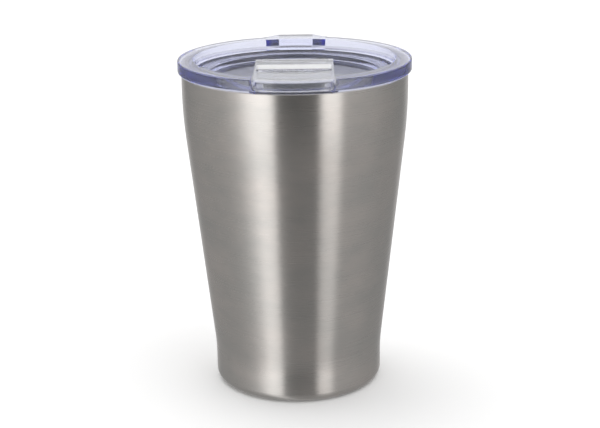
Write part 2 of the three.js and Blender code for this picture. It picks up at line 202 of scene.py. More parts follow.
# %% [markdown]
# A moulding is joined and cut from simple solids, as its steel mould would be milled. Real mould edges
# are never razor sharp, so a bevel then breaks every edge, and weighted normals keep the flat faces
# flat, which matters in a clear material because each face bends what is seen through it.

# %% Joining, cutting and breaking edges
def bake_modifiers(piece):
    """Replaces a piece's mesh with the result of its modifiers."""
    bpy.context.view_layer.update()
    graph = bpy.context.evaluated_depsgraph_get()
    piece.data = bpy.data.meshes.new_from_object(piece.evaluated_get(graph))
    piece.modifiers.clear()
    return piece


def combine(piece, operation, *others):
    """Joins others to a piece or cuts them from it: operation is UNION, DIFFERENCE or INTERSECT."""
    for other in others:
        modifier = piece.modifiers.new("shape", "BOOLEAN")
        modifier.operation = operation
        modifier.object = other
        modifier.solver = "EXACT"
    bake_modifiers(piece)
    for other in others:
        bpy.data.objects.remove(other)
    return piece


CRISP = math.radians(40)  # an edge bent more than this is left crisp
BREAK = math.radians(35)  # an edge bent more than this is broken


def smooth(piece):
    """Shades a piece smooth, apart from its crisp edges."""
    bm = bmesh.new()
    bm.from_mesh(piece.data)
    for face in bm.faces:
        face.smooth = True
    for edge in bm.edges:
        edge.smooth = len(edge.link_faces) == 2 and edge.calc_face_angle() < CRISP
    bm.to_mesh(piece.data)
    bm.free()
    return piece


def break_edges(piece, width, segments=3):
    """Rounds the sharp edges of a moulding by a width in millimetres."""
    bevel = piece.modifiers.new("broken edges", "BEVEL")
    bevel.width = width * MM
    bevel.segments = segments
    bevel.limit_method = "ANGLE"
    bevel.angle_limit = BREAK
    bake_modifiers(piece)
    smooth(piece)
    weigh = piece.modifiers.new("flat faces", "WEIGHTED_NORMAL")
    weigh.keep_sharp = True
    return bake_modifiers(piece)


# %% [markdown]
# ## Node helper
#
# One function adds a shader node: its settings are attributes, and its inputs are values or the sockets
# that feed them. Colours are given as sRGB hex, as a colour card would, and turned linear once.

# %% Colour and nodes
def linear(code):
    """An sRGB hex colour as linear RGBA."""
    parts = [int(code[i : i + 2], 16) / 255 for i in (0, 2, 4)]
    return [c / 12.92 if c <= 0.04045 else ((c + 0.055) / 1.055) ** 2.4 for c in parts] + [1.0]


def add_node(tree, kind, inputs=None, **settings):
    """Adds a node with its settings, and sets or links its inputs."""
    made = tree.nodes.new(kind)
    for key, value in settings.items():
        setattr(made, key, value)
    for key, value in (inputs or {}).items():
        if isinstance(value, bpy.types.NodeSocket):
            tree.links.new(value, made.inputs[key])
        else:
            made.inputs[key].default_value = value
    return made


def new_material(name):
    """An empty material with an output, and its node tree."""
    material = bpy.data.materials.new(name)
    material.use_nodes = True
    material.node_tree.nodes.clear()
    output = material.node_tree.nodes.new("ShaderNodeOutputMaterial")
    return material, material.node_tree, output


def wear(piece, material):
    """Gives a piece one material."""
    piece.data.materials.clear()
    piece.data.materials.append(material)


# %% [markdown]
# ## Brushed stainless steel
#
# The shell is type 304 stainless steel, spun against an abrasive belt: fine scratches run round the
# cup. A scratch spreads a reflection across itself, so lights smear up and down the wall and stay
# fairly crisp from side to side. That is anisotropy, turned a quarter so that it lies across the
# scratches. Real scratches are 0.02 to 0.1 mm wide, too fine to show, so the drawn ones are 0.4 mm
# wide and 40 mm long, and only stir the roughness, the height and the shade a little.
#
# The belt also leaves slow waves of a few hundredths of a millimetre, which make the edge of a
# reflection wander, and the metal is a trace warmer and darker in some patches than in others.

# %% Brushed steel round the cup
SCRATCH_SIZE = (40 * MM, 40 * MM, 0.4 * MM)
SCRATCH_DEPTH = 0.01 * MM
SCRATCH_RELIEF = 0.05
WAVE = (11 * MM, 11 * MM, 6 * MM)
WAVE_HEIGHT = 0.045 * MM
SCRATCH_SHADE = 0.25  # how much the scratches shade the metal, against the patches
DULLER, SHINIER = 0.02, 0.01  # how far the scratches stir the roughness
QUARTER_TURN = 0.25
PATCH = (22 * MM, 22 * MM, 14 * MM)


def stretched_noise(tree, place, size, detail, roughness=0.5):
    """Noise whose lumps have the given size in metres along X, Y and Z."""
    scale = tuple(1 / length for length in size)
    lattice = add_node(tree, "ShaderNodeMapping", {"Vector": place, "Scale": scale})
    inputs = {"Vector": lattice.outputs[0], "Scale": 1.0, "Detail": detail, "Roughness": roughness}
    return add_node(tree, "ShaderNodeTexNoise", inputs).outputs["Fac"]


def brushed_steel(name, warm, cool, roughness, anisotropy, contrast):
    material, tree, output = new_material(name)
    place = add_node(tree, "ShaderNodeTexCoord").outputs["Object"]
    scratches = stretched_noise(tree, place, SCRATCH_SIZE, detail=4.0, roughness=0.65)
    waves = stretched_noise(tree, place, WAVE, detail=2.0)
    patches = stretched_noise(tree, place, PATCH, detail=3.0, roughness=0.6)
    spread = {"From Min": 0.35, "From Max": 0.65}
    shade_spread = {"From Min": 0.45, "From Max": 0.85}
    rough = add_node(
        tree,
        "ShaderNodeMapRange",
        {"Value": scratches, **spread, "To Min": roughness - SHINIER, "To Max": roughness + DULLER},
    )
    shade_inputs = {0: scratches, 1: SCRATCH_SHADE, 2: patches}
    shade = add_node(tree, "ShaderNodeMath", shade_inputs, operation="MULTIPLY_ADD")
    level = add_node(
        tree,
        "ShaderNodeMapRange",
        {"Value": shade.outputs[0], **shade_spread, "To Min": 1 - contrast, "To Max": 1.0},
    )
    warmth = add_node(tree, "ShaderNodeMapRange", {"Value": patches, **spread})
    tint = add_node(
        tree,
        "ShaderNodeMix",
        {"Factor": warmth.outputs[0], 6: linear(cool), 7: linear(warm)},
        data_type="RGBA",
    )
    colour = add_node(
        tree,
        "ShaderNodeMix",
        {"Factor": 1.0, 6: tint.outputs[2], 7: level.outputs[0]},
        data_type="RGBA",
        blend_type="MULTIPLY",
    )
    swell = add_node(
        tree, "ShaderNodeBump", {"Height": waves, "Strength": 1.0, "Distance": WAVE_HEIGHT}
    )
    relief = add_node(
        tree,
        "ShaderNodeBump",
        {
            "Height": scratches,
            "Strength": SCRATCH_RELIEF,
            "Distance": SCRATCH_DEPTH,
            "Normal": swell.outputs[0],
        },
    )
    tangent = add_node(tree, "ShaderNodeTangent", direction_type="RADIAL", axis="Z")
    shader = add_node(
        tree,
        "ShaderNodeBsdfPrincipled",
        {
            "Base Color": colour.outputs[2],
            "Metallic": 1.0,
            "Roughness": rough.outputs[0],
            "Anisotropic": anisotropy,
            "Anisotropic Rotation": QUARTER_TURN,
            "Tangent": tangent.outputs[0],
            "Normal": relief.outputs[0],
        },
    )
    tree.links.new(shader.outputs[0], output.inputs["Surface"])
    return material


BRUSHED = brushed_steel(
    "brushed_304_stainless", "d3cdc8", "d0cdc9", roughness=0.28, anisotropy=0.88, contrast=0.12
)
SATIN = brushed_steel(
    "drawn_304_stainless", "dad7d4", "d4d6d5", roughness=0.38, anisotropy=0.4, contrast=0.12
)
print("steels", BRUSHED.name, SATIN.name)

# %% [markdown]
# ## Clear copolyester
#
# The lid is moulded from a clear copolyester with a touch of violet-blue toner, which hides the
# resin's natural yellow. A thin wall looks colourless; light that is trapped in the thick ring and
# travels a long way through it comes out deep blue. So the surface is clear, and the colour is an
# absorption in the volume. The mould's polish leaves a faint ripple of a few millimetres.

# %% Clear toned plastic
RIPPLE = 5 * MM
RIPPLE_HEIGHT = 0.04 * MM
RIPPLE_RELIEF = 0.5
COPOLYESTER_IOR = 1.57


def clear_plastic(name, body, toner, density, haze, clearness=0.97):
    material, tree, output = new_material(name)
    place = add_node(tree, "ShaderNodeTexCoord").outputs["Object"]
    ripple = add_node(
        tree,
        "ShaderNodeTexNoise",
        {"Vector": place, "Scale": 1 / RIPPLE, "Detail": 1.5},
    )
    relief = add_node(
        tree,
        "ShaderNodeBump",
        {"Height": ripple.outputs["Fac"], "Strength": RIPPLE_RELIEF, "Distance": RIPPLE_HEIGHT},
    )
    polish = add_node(
        tree,
        "ShaderNodeMapRange",
        {"Value": ripple.outputs["Fac"], "To Min": haze * 0.5, "To Max": haze * 1.5},
    )
    shader = add_node(
        tree,
        "ShaderNodeBsdfPrincipled",
        {
            "Base Color": linear(body),
            "Roughness": polish.outputs[0],
            "IOR": COPOLYESTER_IOR,
            "Transmission Weight": clearness,
            "Normal": relief.outputs[0],
        },
    )
    volume = add_node(
        tree, "ShaderNodeVolumeAbsorption", {"Color": linear(toner), "Density": density}
    )
    tree.links.new(shader.outputs[0], output.inputs["Surface"])
    tree.links.new(volume.outputs[0], output.inputs["Volume"])
    return material


CLEAR = clear_plastic("toned_clear_copolyester", "ecedf0", "8292fa", density=28.0, haze=0.03)
CLEAR_FLAP = clear_plastic("clear_copolyester", "ecedf2", "8f99d6", density=18.0, haze=0.05)
FROSTED = clear_plastic(
    "frosted_copolyester", "fbfbfb", "96a0e6", density=20.0, haze=0.45, clearness=0.32
)
print("clear plastics", CLEAR.name, CLEAR_FLAP.name, FROSTED.name)

# %% [markdown]
# ## Silicone, solder glass and getter powder
#
# Silicone is soft and slightly see-through: light enters, scatters and comes back, so it is drawn with
# subsurface scattering and a satin surface with the fine matt grain of a spark-eroded mould.

# %% Silicones and the small sealed pieces
SILICONE_IOR = 1.41
SCATTER_DEPTH = 1.5 * MM
SCATTER_COLOUR = (1.0, 0.95, 0.9)  # red light goes a little deeper than blue
GRAIN_RELIEF = 0.3
GRAIN_HEIGHT = 0.1  # of the grain's own size
GRAIN_SHEEN = 0.06


def moulded_rubber(name, tint, scatter, roughness, grain):
    material, tree, output = new_material(name)
    place = add_node(tree, "ShaderNodeTexCoord").outputs["Object"]
    speckle = add_node(
        tree,
        "ShaderNodeTexNoise",
        {"Vector": place, "Scale": 1 / grain, "Detail": 3.0},
    )
    relief = add_node(
        tree,
        "ShaderNodeBump",
        {
            "Height": speckle.outputs["Fac"],
            "Strength": GRAIN_RELIEF,
            "Distance": grain * GRAIN_HEIGHT,
        },
    )
    rough = add_node(
        tree,
        "ShaderNodeMapRange",
        {
            "Value": speckle.outputs["Fac"],
            "To Min": roughness - GRAIN_SHEEN,
            "To Max": roughness + GRAIN_SHEEN,
        },
    )
    shader = add_node(
        tree,
        "ShaderNodeBsdfPrincipled",
        {
            "Base Color": linear(tint),
            "Roughness": rough.outputs[0],
            "IOR": SILICONE_IOR,
            "Subsurface Weight": scatter,
            "Subsurface Radius": SCATTER_COLOUR,
            "Subsurface Scale": SCATTER_DEPTH,
            "Normal": relief.outputs[0],
        },
    )
    tree.links.new(shader.outputs[0], output.inputs["Surface"])
    return material


WHITE_SILICONE = moulded_rubber(
    "white_silicone", "e9eaec", scatter=0.4, roughness=0.45, grain=0.5 * MM
)
CLEAR_SILICONE = moulded_rubber(
    "milky_silicone", "e4e7ec", scatter=0.8, roughness=0.4, grain=0.5 * MM
)
SOLDER_GLASS = moulded_rubber("solder_glass", "2c2f33", scatter=0.0, roughness=0.2, grain=1.5 * MM)
GETTER = moulded_rubber(
    "pressed_getter_powder", "6a6661", scatter=0.0, roughness=0.8, grain=0.2 * MM
)
print("small finishes", [m.name for m in (WHITE_SILICONE, CLEAR_SILICONE, SOLDER_GLASS, GETTER)])

# %% [markdown]
# ## The steel cup
#
# The outer shell is a tube, swaged to a taper, with a short straight collar at the lid and a short
# straight foot. Its rim is folded in over the liner's edge and its hem is folded in under the cup.

# %% Outer shell
WAIST_R = 32.4  # outside of the straight foot
FOOT_KNEE = 13.6  # the foot turns into the taper here
FOOT_BLEND = 73
COLLAR_KNEE = 106.35  # the taper turns into the collar here
COLLAR_BLEND = 180
HEEL = 3.5  # rounding of the bottom edge
HEM_R = cover_high.x + 0.3
RIM_FILLETS = (0.5, 0.25)
SHELL_FACETS = 256


def shell_corners():
    inner = COLLAR_R - SHEET
    return [
        [HEM_R, 0],
        [WAIST_R, 0, HEEL],
        [WAIST_R, FOOT_KNEE, FOOT_BLEND],
        [COLLAR_R, COLLAR_KNEE, COLLAR_BLEND],
        [COLLAR_R, RIM_Z, RIM_FILLETS[0]],
        [MOUTH_R, RIM_Z, RIM_FILLETS[1]],
        [MOUTH_R, RIM_Z - SHEET],
        [inner, RIM_Z - SHEET],
        [inner, COLLAR_KNEE, COLLAR_BLEND],
        [WAIST_R - SHEET, FOOT_KNEE, FOOT_BLEND],
        [WAIST_R - SHEET, SHEET, HEEL - SHEET],
        [HEM_R, SHEET],
    ]


def settle(piece, body, slot, material, *nodes):
    """Dresses a piece, makes it ride its body and stand for its frame nodes."""
    wear(piece, material)
    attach(piece, body)
    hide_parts(*nodes)
    print(f"{piece.name}: {len(piece.data.vertices)} vertices, rides {body}")


shell = smooth(turned("brushed_shell", shell_corners(), SHELL_FACETS))
settle(shell, "cup", "brushed_shell", BRUSHED, "outer_shell")

# %% [markdown]
# The liner is deep-drawn from one disc. It follows the shell 3 mm inside it, and opens out near the
# top into the straight mouth that the lid's gasket presses on.

# %% Inner liner
VACUUM = 3.0  # space between the walls
LINER_FLOOR = liner_low.z + SHEET
LINER_HEEL = 6
SHOULDER = 103  # the liner steps out to the mouth from here
MOUTH_BOTTOM = 110
MOUTH_BLEND = 3
LIP_BREAK = 0.15
LINER_FACETS = 192


def liner_outer(height):
    taper = (COLLAR_R - WAIST_R) / (COLLAR_KNEE - FOOT_KNEE)
    return WAIST_R + taper * (height - FOOT_KNEE) - SHEET - VACUUM


def liner_corners():
    under = LINER_FLOOR - SHEET
    return [
        [0, LINER_FLOOR],
        [liner_outer(LINER_FLOOR) - SHEET, LINER_FLOOR, LINER_HEEL],
        [liner_outer(SHOULDER) - SHEET, SHOULDER, MOUTH_BLEND],
        [MOUTH_R, MOUTH_BOTTOM, MOUTH_BLEND],
        [MOUTH_R, liner_high.z, LIP_BREAK],
        [MOUTH_R + SHEET, liner_high.z, LIP_BREAK],
        [MOUTH_R + SHEET, MOUTH_BOTTOM, MOUTH_BLEND],
        [liner_outer(SHOULDER), SHOULDER, MOUTH_BLEND],
        [liner_outer(under), under, LINER_HEEL + SHEET],
        [0, under],
    ]


liner = smooth(turned("drawn_liner", liner_corners(), LINER_FACETS))
settle(liner, "cup", "liner_steel", SATIN, "inner_liner")

# %% [markdown]
# The base cover is a pressed dish, glued in inside the hem. A shallow step and a raised ring stiffen
# it, as on most cups of this kind.

# %% Base cover
COVER_R = cover_high.x
COVER_FILLET = 0.8
STEP_R = (9.0, 10.0)  # the shallow step in the middle, from its top to its foot
STEP_RISE = 0.35
STEP_FILLET = 0.6
BEAD_R = (22.0, 22.7, 24.0, 24.7)  # the raised ring: up, across and down again
BEAD_RISE = 0.3
BEAD_FILLET = 0.4
COVER_FACETS = 128


def cover_corners():
    low = cover_low.z
    bead_heights = (low, low + BEAD_RISE, low + BEAD_RISE, low)
    return [
        [0, low + STEP_RISE],
        [STEP_R[0], low + STEP_RISE, STEP_FILLET],
        [STEP_R[1], low, STEP_FILLET],
        *([radius, height, BEAD_FILLET] for radius, height in zip(BEAD_R, bead_heights)),
        [COVER_R, low, COVER_FILLET],
        [COVER_R, cover_high.z],
        [COVER_R - SHEET, cover_high.z],
        [COVER_R - SHEET, low + SHEET + BEAD_RISE],
        [0, low + SHEET + STEP_RISE],
    ]


cover = smooth(turned("pressed_base_cover", cover_corners(), COVER_FACETS))
settle(cover, "cup", "brushed_shell", BRUSHED, "base_cover")

# %% [markdown]
# ## The lid
#
# The lid is one clear moulding: a thick ring that overhangs the steel, a ledge, a sunken floor and a
# plug. It is spun as one profile; then the lift tab and the hinge lugs are joined on, and the front
# notch, the drinking slot, the vent and the pin's holes are cut.

# %% Lid profile
RING_INNER_R = 38.1
RING_FILLETS = (0.5, 0.6)
RING_BOTTOM = RIM_Z + 0.1
CHAMFER = 0.8
NOTCH_FLOOR = RING_BOTTOM + CHAMFER
DISH_FLOOR = 120
DISH_R = 32.2
DISH_SLOPE = 0.6
UNDERSIDE_R = (DISH_R + 0.4, DISH_R - 0.2)  # the dish's step seen from below
LEDGE = 122
LEDGE_R = 36.4
WALL = 2.4
PLUG_R = 39.7
PLUG_INNER_R = 37.4
PLUG_DRAFT = 0.3
PLUG_FILLET = 0.6
GROOVE_R = 38.3
GROOVE = (115.2, 118.3)
GROOVE_FILLET = 0.15
LID_FACETS = 256


def lid_corners():
    return [
        [0, DISH_FLOOR],
        [DISH_R - DISH_SLOPE, DISH_FLOOR, 0.5],
        [DISH_R, LEDGE, 0.4],
        [LEDGE_R, LEDGE, 0.5],
        [RING_INNER_R, LID_TOP, RING_FILLETS[0]],
        [RING_R, LID_TOP, RING_FILLETS[1]],
        [RING_R, NOTCH_FLOOR, 0.3],
        [RING_R - CHAMFER, RING_BOTTOM, 0.2],
        [PLUG_R, RING_BOTTOM, 0.1],
        [PLUG_R, GROOVE[1], GROOVE_FILLET],
        [GROOVE_R, GROOVE[1], GROOVE_FILLET],
        [GROOVE_R, GROOVE[0], GROOVE_FILLET],
        [PLUG_R, GROOVE[0], GROOVE_FILLET],
        [PLUG_R - PLUG_DRAFT, lid_low.z, PLUG_FILLET],
        [PLUG_INNER_R, lid_low.z, PLUG_FILLET],
        [PLUG_INNER_R, LEDGE - WALL, 0.8],
        [UNDERSIDE_R[0], LEDGE - WALL, 0.4],
        [UNDERSIDE_R[1], DISH_FLOOR - WALL, 0.4],
        [0, DISH_FLOOR - WALL],
    ]


print("lid profile", len(rounded(lid_corners())), "points")

# %% Lift tab and hinge lugs
TAB_HALF = (12.6, 7.2)  # half widths at the ring and at the tip
TAB_ROOT = 2  # how deep the tab is sunk into the ring
TAB_FILLET = 1.2
LUG_X = (12.2, 14.4)
LUG_R = 1.9
LUG_FLARE = 0.8
LUG_FILLET = 1.7


def lift_tab():
    base, tip = TAB_HALF
    shore = math.sqrt(RING_R**2 - base**2)
    corners = [
        [-base, RING_INNER_R + TAB_ROOT],
        [base, RING_INNER_R + TAB_ROOT],
        [base, shore],
        [tip, TAB_Y, TAB_FILLET],
        [-tip, TAB_Y, TAB_FILLET],
        [-base, shore],
    ]
    return prism("tab", rounded(corners), NOTCH_FLOOR, LID_TOP)


def hinge_lug(low, high):
    foot, top = LUG_R + LUG_FLARE, HINGE_Z + LUG_R
    corners = [
        [HINGE_Y - foot, DISH_FLOOR - 1],
        [HINGE_Y + foot, DISH_FLOOR - 1],
        [HINGE_Y + LUG_R, top, LUG_FILLET],
        [HINGE_Y - LUG_R, top, LUG_FILLET],
    ]
    return prism("lug", rounded(corners), low, high, "X")


# %% [markdown]
# The drinking slot, the stopper that fills it and the hollow under the flap follow the rim: each is a
# band across the lid whose long sides bow towards the front.

# %% Bent bands
BAND_BEND = 29.0
BAND_FACETS = 32


def bent_band(front, back, half, fillet, bend=BAND_BEND):
    """A band across the lid whose long sides bow towards the rim."""
    bow = lambda x: bend - math.sqrt(bend**2 - x**2)
    xs = [half * (2 * k / BAND_FACETS - 1) for k in range(BAND_FACETS + 1)]
    inner = [x for x in xs if abs(x) < half - fillet]
    corners = [[-half, front + bow(half), fillet]] + [[x, front + bow(x)] for x in inner]
    corners += [[half, front + bow(half), fillet], [half, back + bow(half), fillet]]
    corners += [[x, back + bow(x)] for x in reversed(inner)] + [[-half, back + bow(half), fillet]]
    return rounded(corners)


# %% Lid moulding
BEYOND = 1  # how far a cutter reaches past what it cuts
NOTCH_HALF = 15
NOTCH_FILLET = 2
SLOT_Y = (-27.5, -19.5)
SLOT_HALF = 11.5
SLOT_FILLET = 3.0
VENT_Y = (button_low.y + button_high.y) / 2
VENT_R = 1.2
VENT_FACETS = 24
PIN_R = pin_high.z - HINGE_Z
HOLE_R = PIN_R + 0.3
LID_BREAK = 0.2

notch_corners = [
    [-NOTCH_HALF, NOTCH_FLOOR, NOTCH_FILLET],
    [NOTCH_HALF, NOTCH_FLOOR, NOTCH_FILLET],
    [NOTCH_HALF, LID_TOP + BEYOND],
    [-NOTCH_HALF, LID_TOP + BEYOND],
]
under_floor = DISH_FLOOR - WALL - BEYOND
vent_circle = circle(0, VENT_Y, VENT_R, VENT_FACETS)
lid = turned("clear_lid", lid_corners(), LID_FACETS)
combine(lid, "UNION", lift_tab(), hinge_lug(*LUG_X), hinge_lug(-LUG_X[1], -LUG_X[0]))
combine(
    lid,
    "DIFFERENCE",
    prism("notch", rounded(notch_corners), -RING_R - BEYOND, -DISH_R, "Y"),
    prism("slot", bent_band(*SLOT_Y, SLOT_HALF, SLOT_FILLET), under_floor, LEDGE),
    prism("vent", vent_circle, under_floor, DISH_FLOOR + BEYOND),
    rod("pin_hole", HOLE_R, LUG_X[1] + BEYOND),
)
break_edges(lid, LID_BREAK)
settle(lid, "lid", "clear_lid", CLEAR, "lid_body")

# %% [markdown]
# The gasket is a silicone ring in the plug's groove. Two thin fins press on the steel mouth: they
# seal, and their friction is what holds the lid in.

# %% Gasket
GASKET_INNER_R = GROOVE_R + 0.3
GASKET_WAIST_R = PLUG_R + 0.2
GASKET_FILLET = 0.1
FIN_ROOT = 0.6  # thickness of a fin where it starts
FIN_TIP = (0.7, 1)  # how far its thin tip is raised, below and above
FIN_FILLETS = (0.15, 0.12, 0.1)
GASKET_FACETS = 160


def gasket_corners():
    low, high, fin = gasket_low.z, gasket_high.z, gasket_high.x
    corners = [[GASKET_INNER_R, low, GASKET_FILLET]]
    for z in (low, high - FIN_TIP[1]):
        corners += [
            [GASKET_WAIST_R, z, FIN_FILLETS[0]],
            [fin, z + FIN_TIP[0], FIN_FILLETS[1]],
            [fin - 0.1, z + FIN_TIP[1], FIN_FILLETS[2]],
            [GASKET_WAIST_R, z + FIN_ROOT, FIN_FILLETS[0]],
        ]
    corners.append([GASKET_WAIST_R, high, GASKET_FILLET])
    return corners + [[GASKET_INNER_R, high, GASKET_FILLET]]


gasket = smooth(turned("lid_seal_ring", gasket_corners(), GASKET_FACETS))
settle(gasket, "lid", "clear_silicone", CLEAR_SILICONE, "lid_gasket")

# %% [markdown]
# ## The flap
#
# The flap is a second clear moulding. Its top is level with the ring, its front lip fills the notch
# and is turned to the ring's own radius. A shallow dip gives the finger a place to push it shut, and
# the dip's leaning back wall is frosted, apart from a clear line along its foot.

# %% Flap outline
FLAP_HALF = flap_high.x
FLAP_FACETS = 48
FLAP_UNDER = 124.2
LIP_BOTTOM = 123.15
LIP_INNER_R = 41.6


def flap_plan():
    """The flap seen from above, its front on the ring's own circle."""
    xs = [FLAP_HALF * (2 * k / FLAP_FACETS - 1) for k in range(FLAP_FACETS + 1)]
    front = [(x, -math.sqrt(RING_R**2 - x**2)) for x in xs]
    return front + [(FLAP_HALF, HINGE_Y), (-FLAP_HALF, HINGE_Y)]


print("flap outline", len(flap_plan()), "points")

# %% Finger dip
DIP_Y = (-30, -14.5)
DIP_HALF = 13.7
DIP_BEND = 25
DIP_DEPTH = 1.9
DIP_LEAN = 3.0  # how far the back wall leans
DIP_FILLET = 2.2
DIP_BACK_FILLET = 1.0
CLEAR_FOOT = 0.6  # height of the clear line under the frosting


def scoop_outline(back):
    """A D on its side: a front that bows towards the rim and a straight back."""
    reach = DIP_HALF - DIP_FILLET
    xs = [reach * (2 * k / BAND_FACETS - 1) for k in range(BAND_FACETS + 1)]
    bow = lambda x: DIP_Y[0] + DIP_BEND - math.sqrt(DIP_BEND**2 - x**2)
    front = [[x, bow(x)] for x in xs[1:-1]]
    shoulder = bow(DIP_HALF)
    sides = [
        [DIP_HALF, shoulder, DIP_FILLET],
        [DIP_HALF, back, DIP_BACK_FILLET],
        [-DIP_HALF, back, DIP_BACK_FILLET],
        [-DIP_HALF, shoulder, DIP_FILLET],
    ]
    return rounded(front + sides)


def finger_dip():
    """The dip's cutter: an upright front wall and a back wall that leans away."""
    floor = LID_TOP - DIP_DEPTH
    bm = bmesh.new()
    rings = []
    for height in (0, CLEAR_FOOT, DIP_DEPTH + BEYOND):
        back = DIP_Y[1] - DIP_LEAN + DIP_LEAN * height / DIP_DEPTH
        rings.append([bm.verts.new((x, y, floor + height)) for x, y in scoop_outline(back)])
    bm.faces.new(rings[0])
    bm.faces.new(rings[-1])
    side_walls(bm, rings)
    return new_object("dip", bm)


# %% Room for the lugs, and the hollow
KNUCKLE_HALF = LUG_X[0] - 0.2
LUG_FRONT = HINGE_Y - LUG_R - 1.1
POCKET_WALL = 1.3
POCKET_FRONT = 0.4 - LIP_INNER_R
POCKET_FILLET = 1.0


def corner_blocks():
    """Cutters for the two back corners, which leave room for the lid's lugs."""
    blocks = []
    for side in (-1, 1):
        outer = FLAP_HALF + BEYOND
        corners = [[KNUCKLE_HALF, LUG_FRONT], [outer, LUG_FRONT], [outer, 0], [KNUCKLE_HALF, 0]]
        points = [Vector((side * x, y)) for x, y in corners]
        blocks.append(prism("corner", points, LIP_BOTTOM - BEYOND, LID_TOP + BEYOND))
    return blocks


def under_pocket():
    """The cutter that thins the flap's front to a wall."""
    back, half = DIP_Y[0] - POCKET_WALL, FLAP_HALF - POCKET_WALL
    points = bent_band(POCKET_FRONT, back, half, POCKET_FILLET, bend=LIP_INNER_R)
    return prism("pocket", points, FLAP_UNDER - BEYOND, LID_TOP - POCKET_WALL)


# %% Flap moulding
BARREL_R = 1.9
LIP_FILLET = 1.6
FLAP_BREAK = 0.45

flap = prism("clear_flap", flap_plan(), LIP_BOTTOM, LID_TOP)
front_view = [
    [-FLAP_HALF, LIP_BOTTOM, LIP_FILLET],
    [FLAP_HALF, LIP_BOTTOM, LIP_FILLET],
    [FLAP_HALF, LID_TOP],
    [-FLAP_HALF, LID_TOP],
]
combine(flap, "INTERSECT", prism("front_view", rounded(front_view), -RING_R - BEYOND, 0, "Y"))
behind_lip = [
    [0, LIP_BOTTOM - BEYOND],
    [LIP_INNER_R, LIP_BOTTOM - BEYOND],
    [LIP_INNER_R, FLAP_UNDER],
    [0, FLAP_UNDER],
]
lip_cutter = turned("behind_lip", behind_lip, LINER_FACETS)
combine(flap, "DIFFERENCE", lip_cutter, finger_dip(), *corner_blocks())
combine(flap, "UNION", rod("barrel", BARREL_R, KNUCKLE_HALF))
combine(flap, "DIFFERENCE", rod("bore", HOLE_R, FLAP_HALF + BEYOND), under_pocket())
break_edges(flap, FLAP_BREAK, segments=4)
settle(flap, "flap", "clear_lid", CLEAR_FLAP, "drink_flap")

# %% Frosted wall
FACING_UP = 0.3  # the wall leans back, so that it faces up at least this much


def frost_dip(piece):
    """Gives the dip's leaning back wall the frosted finish."""
    piece.data.materials.append(FROSTED)
    frosted = 0
    for face in piece.data.polygons:
        x, y, z = face.center / MM
        in_dip = abs(x) < DIP_HALF and DIP_Y[1] - DIP_LEAN < y < DIP_Y[1]
        if in_dip and face.normal.z > FACING_UP and z > LID_TOP - DIP_DEPTH + CLEAR_FOOT:
            face.material_index = 1
            frosted += 1
    print("frosted faces", frosted)


frost_dip(flap)

# %% [markdown]
# The hinge pin is a short length of ground steel rod, pushed through both lugs and the flap's barrel.

# %% Hinge pin
PIN_BREAK = 0.2

pin = rod("ground_hinge_pin", PIN_R, pin_high.x)
break_edges(pin, PIN_BREAK)
settle(pin, "lid", "liner_steel", SATIN, "hinge_pin")

# %% [markdown]
# The stopper is white silicone: a brim under the flap and a plug that drops into the slot. Its bent
# shape follows the rim, and so does the slot.

# %% Stopper
BRIM_Z = 122.6
BRIM = 1.8  # how far the brim reaches past the slot
BRIM_FILLET = 3.5
SLOT_GAP = 0.5
PLUG_ROOT = 0.5
PLUG_CORNER = 2.6
STOPPER_BREAK = 0.45


def slot_band(grow, fillet):
    """The slot's outline, grown by so many millimetres all round."""
    return bent_band(SLOT_Y[0] - grow, SLOT_Y[1] + grow, SLOT_HALF + grow, fillet)


stopper = prism("white_stopper", slot_band(BRIM, BRIM_FILLET), BRIM_Z, stopper_high.z)
plug = prism("plug", slot_band(-SLOT_GAP, PLUG_CORNER), stopper_low.z, BRIM_Z + PLUG_ROOT)
combine(stopper, "UNION", plug)
break_edges(stopper, STOPPER_BREAK, segments=4)
settle(stopper, "flap", "white_silicone", WHITE_SILICONE, "slot_stopper")

# %% [markdown]
# The vent button is a plain silicone stud. It shuts the small hole that lets air in as one drinks.

# %% Vent button
BUTTON_R = button_high.x
BUTTON_FILLETS = (0.9, 0.2)
BUTTON_FACETS = 48

button_corners = [
    [0, button_low.z],
    [BUTTON_R, button_low.z, BUTTON_FILLETS[0]],
    [BUTTON_R, button_high.z, BUTTON_FILLETS[1]],
    [0, button_high.z],
]
button = smooth(turned("vent_seal_button", button_corners, BUTTON_FACETS))
button.data.transform(Matrix.Translation((0, VENT_Y * MM, 0)))
settle(button, "flap", "white_silicone", WHITE_SILICONE, "vent_button")

# %% [markdown]
# ## Sealed inside the base
#
# The base plate, the solder bead, the getter and its clip can't be seen, but they are there. Their
# frame solids have the right shape, so they keep it and only take their finishes.

# %% Finishes of the sealed pieces
SEALED = {"base_plate": SATIN, "getter_clip": SATIN, "solder_bead": SOLDER_GLASS, "getter_pellet": GETTER}
for node_name, material in SEALED.items():
    wear(frame["nodes"][node_name], material)
print("dressed", sorted(SEALED))

# %% [markdown]
# ## Studio
#
# The cup stands on a white floor. The steel shows the studio more than itself: a tall soft light on
# the left, a narrower one on the right and the dark gap between them where the camera stands. They
# are drawn as a sky in three tiers, low, middle and upper, each a ramp of greys round the compass.
# The tapered wall looks down, so it shows the low and middle tiers; the lid shows the upper one. The
# floor is left out of the steel's reflections, as a photographer would flag it off.

